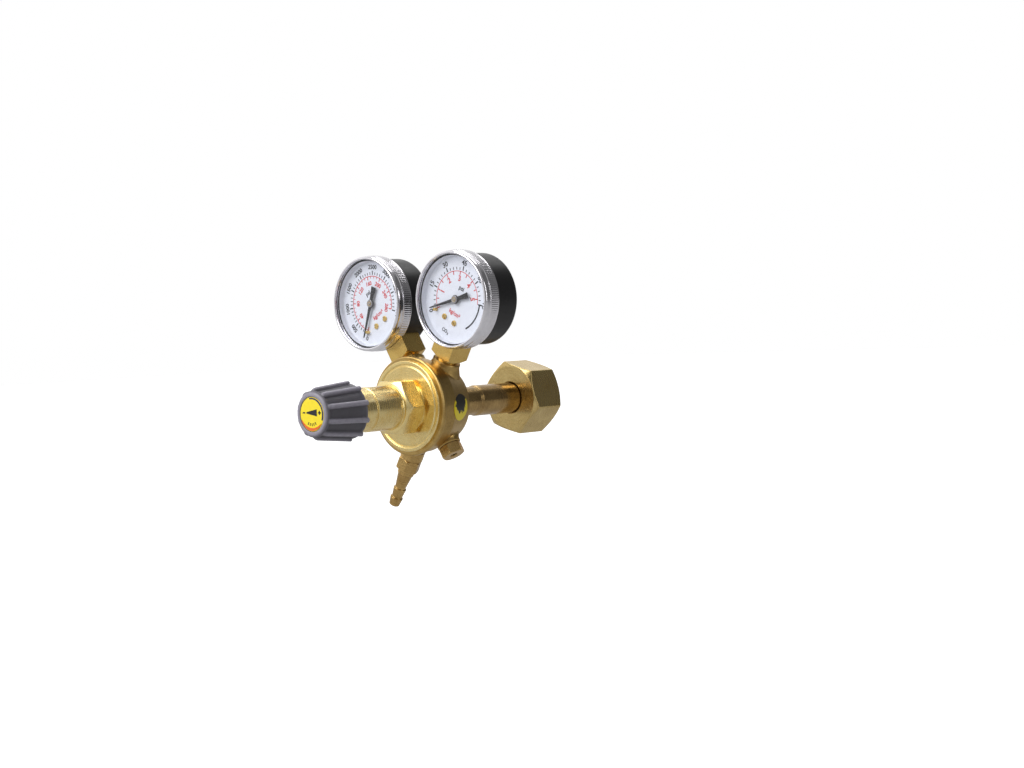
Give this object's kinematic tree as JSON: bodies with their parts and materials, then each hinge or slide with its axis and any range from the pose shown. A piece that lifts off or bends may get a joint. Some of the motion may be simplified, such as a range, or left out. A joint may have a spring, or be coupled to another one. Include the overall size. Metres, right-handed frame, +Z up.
{
  "type": "carbon dioxide regulator",
  "caption": "Brass bottle regulator: union nut and stem, ported body with relief valve and hose barb, round pressure gauges, and a ribbed adjusting knob.",
  "frame": {"origin": "centre of the inlet's sealing face, inside the union nut", "axes": "+Z up between the two gauges, +Y along the main axis out of the union nut towards the gas cylinder, -Y towards the knob"},
  "size_m": [0.1018, 0.1497, 0.1208],
  "materials": {
    "body_brass": "satin turned brass, slightly grained",
    "bonnet_brass": "bright satin turned brass",
    "stem_brass": "drawn brass with fine turning lines",
    "nut_brass": "satin brass with turned chamfers",
    "fitting_brass": "rough turned brass",
    "knob_plastic": "moulded grey plastic",
    "label_film": "printed yellow film",
    "sticker_film": "printed foil",
    "bezel_chrome": "knurled chrome plate",
    "case_black": "semi-gloss black enamel",
    "lens_glass": "clear window",
    "dial_white": "printed matt white",
    "pointer_black": "matt black",
    "movement_brass": "stamped brass",
    "spring_steel": "drawn spring wire",
    "screw_steel": "plated steel",
    "diaphragm_rubber": "reinforced rubber",
    "washer_nylon": "natural nylon",
    "filter_bronze": "sintered bronze"
  },
  "bodies": {
    "regulator": {"regulator_body": "body_brass", "body_sticker": "sticker_film", "bonnet": "bonnet_brass", "diaphragm": "diaphragm_rubber", "slip_ring": "movement_brass", "regulating_spring": "spring_steel", "inlet_stem": "stem_brass", "inlet_filter": "filter_bronze", "inlet_washer": "washer_nylon", "valve_seat": "fitting_brass", "poppet_spring": "spring_steel", "outlet_barb": "fitting_brass", "relief_body": "fitting_brass", "relief_seat": "fitting_brass", "relief_spring": "spring_steel", "cylinder_gauge_case": "case_black", "cylinder_gauge_bezel": "bezel_chrome", "cylinder_gauge_lens": "lens_glass", "cylinder_gauge_dial": "dial_white", "cylinder_gauge_stop_pin": "movement_brass", "cylinder_gauge_dial_screws": "movement_brass", "cylinder_gauge_bourdon_tube": "movement_brass", "cylinder_gauge_movement_frame": "movement_brass", "cylinder_gauge_socket": "bonnet_brass", "outlet_gauge_case": "case_black", "outlet_gauge_bezel": "bezel_chrome", "outlet_gauge_lens": "lens_glass", "outlet_gauge_dial": "dial_white", "outlet_gauge_stop_pin": "movement_brass", "outlet_gauge_dial_screws": "movement_brass", "outlet_gauge_bourdon_tube": "movement_brass", "outlet_gauge_movement_frame": "movement_brass", "outlet_gauge_socket": "bonnet_brass"},
    "inlet_nut": {"inlet_nut": "nut_brass"},
    "spring_carrier": {"spring_button": "movement_brass"},
    "knob": {"knob": "knob_plastic", "knob_label": "label_film", "adjusting_screw": "screw_steel"},
    "valve_train": {"diaphragm_plate": "movement_brass", "valve_pin": "screw_steel", "valve_poppet": "fitting_brass"},
    "relief_poppet": {"relief_poppet": "movement_brass"},
    "cylinder_gauge_sector": {"cylinder_gauge_sector_gear": "movement_brass"},
    "cylinder_gauge_link": {"cylinder_gauge_link": "movement_brass"},
    "cylinder_gauge_pointer": {"cylinder_gauge_pointer": "pointer_black", "cylinder_gauge_pinion_arbor": "movement_brass", "cylinder_gauge_hairspring": "movement_brass"},
    "outlet_gauge_sector": {"outlet_gauge_sector_gear": "movement_brass"},
    "outlet_gauge_link": {"outlet_gauge_link": "movement_brass"},
    "outlet_gauge_pointer": {"outlet_gauge_pointer": "pointer_black", "outlet_gauge_pinion_arbor": "movement_brass", "outlet_gauge_hairspring": "movement_brass"}
  },
  "joints": [
    {"name": "nut_swivel", "type": "hinge", "parent": "regulator", "child": "inlet_nut", "pos_m": [0, 0, 0], "axis": [0, 1, 0], "continuous": true},
    {"name": "screw_advance", "type": "slide", "parent": "regulator", "child": "spring_carrier", "axis": [0, 1, 0], "range_m": [-0.0015, 0.006], "deforming": ["regulating_spring"]},
    {"name": "knob_turn", "type": "hinge", "parent": "spring_carrier", "child": "knob", "pos_m": [0, -0.12, 0], "axis": [0, 1, 0], "range_deg": [-361, 1441]},
    {"name": "valve_lift", "type": "slide", "parent": "regulator", "child": "valve_train", "axis": [0, 1, 0], "range_m": [0, 0.0008], "stiffness_N_per_m": 3000, "springref_m": -0.001, "deforming": ["diaphragm", "poppet_spring", "regulating_spring"]},
    {"name": "relief_lift", "type": "slide", "parent": "regulator", "child": "relief_poppet", "axis": [0.5, 0, -0.866], "range_m": [0, 0.0012], "stiffness_N_per_m": 2000, "springref_m": -0.001, "deforming": ["relief_spring"]},
    {"name": "cylinder_gauge_sector_turn", "type": "hinge", "parent": "regulator", "child": "cylinder_gauge_sector", "pos_m": [-0.01922, -0.0695, 0.04348], "axis": [0, 1, 0], "range_deg": [-35.87, 0], "stiffness_Nm_per_rad": 0.001, "springref_deg": 17.19},
    {"name": "cylinder_gauge_link_turn", "type": "hinge", "parent": "cylinder_gauge_sector", "child": "cylinder_gauge_link", "pos_m": [-0.01472, -0.06865, 0.04348], "axis": [0, 1, 0], "range_deg": [-0.1, 35.97]},
    {"name": "cylinder_gauge_pointer_turn", "type": "hinge", "parent": "regulator", "child": "cylinder_gauge_pointer", "pos_m": [-0.02805, -0.07, 0.04858], "axis": [0, 1, 0], "range_deg": [-0.1, 269.1], "deforming": ["cylinder_gauge_hairspring"]},
    {"name": "outlet_gauge_sector_turn", "type": "hinge", "parent": "regulator", "child": "outlet_gauge_sector", "pos_m": [0.02805, -0.0695, 0.03838], "axis": [0, 1, 0], "range_deg": [-33.87, 0], "stiffness_Nm_per_rad": 0.001, "springref_deg": 17.19},
    {"name": "outlet_gauge_link_turn", "type": "hinge", "parent": "outlet_gauge_sector", "child": "outlet_gauge_link", "pos_m": [0.0303, -0.06865, 0.03449], "axis": [0, 1, 0], "range_deg": [-0.1, 33.97]},
    {"name": "outlet_gauge_pointer_turn", "type": "hinge", "parent": "regulator", "child": "outlet_gauge_pointer", "pos_m": [0.02805, -0.07, 0.04858], "axis": [0, 1, 0], "range_deg": [-0.1, 254.1], "deforming": ["outlet_gauge_hairspring"]}
  ],
  "couplings": [
    {"joint": "knob_turn", "follows": "screw_advance", "rad_per_m": 4188.8},
    {"joint": "cylinder_gauge_pointer_turn", "follows": "cylinder_gauge_sector_turn", "ratio": -7.5},
    {"joint": "cylinder_gauge_link_turn", "follows": "cylinder_gauge_sector_turn", "ratio": -1},
    {"joint": "outlet_gauge_pointer_turn", "follows": "outlet_gauge_sector_turn", "ratio": -7.5},
    {"joint": "outlet_gauge_link_turn", "follows": "outlet_gauge_sector_turn", "ratio": -1}
  ]
}
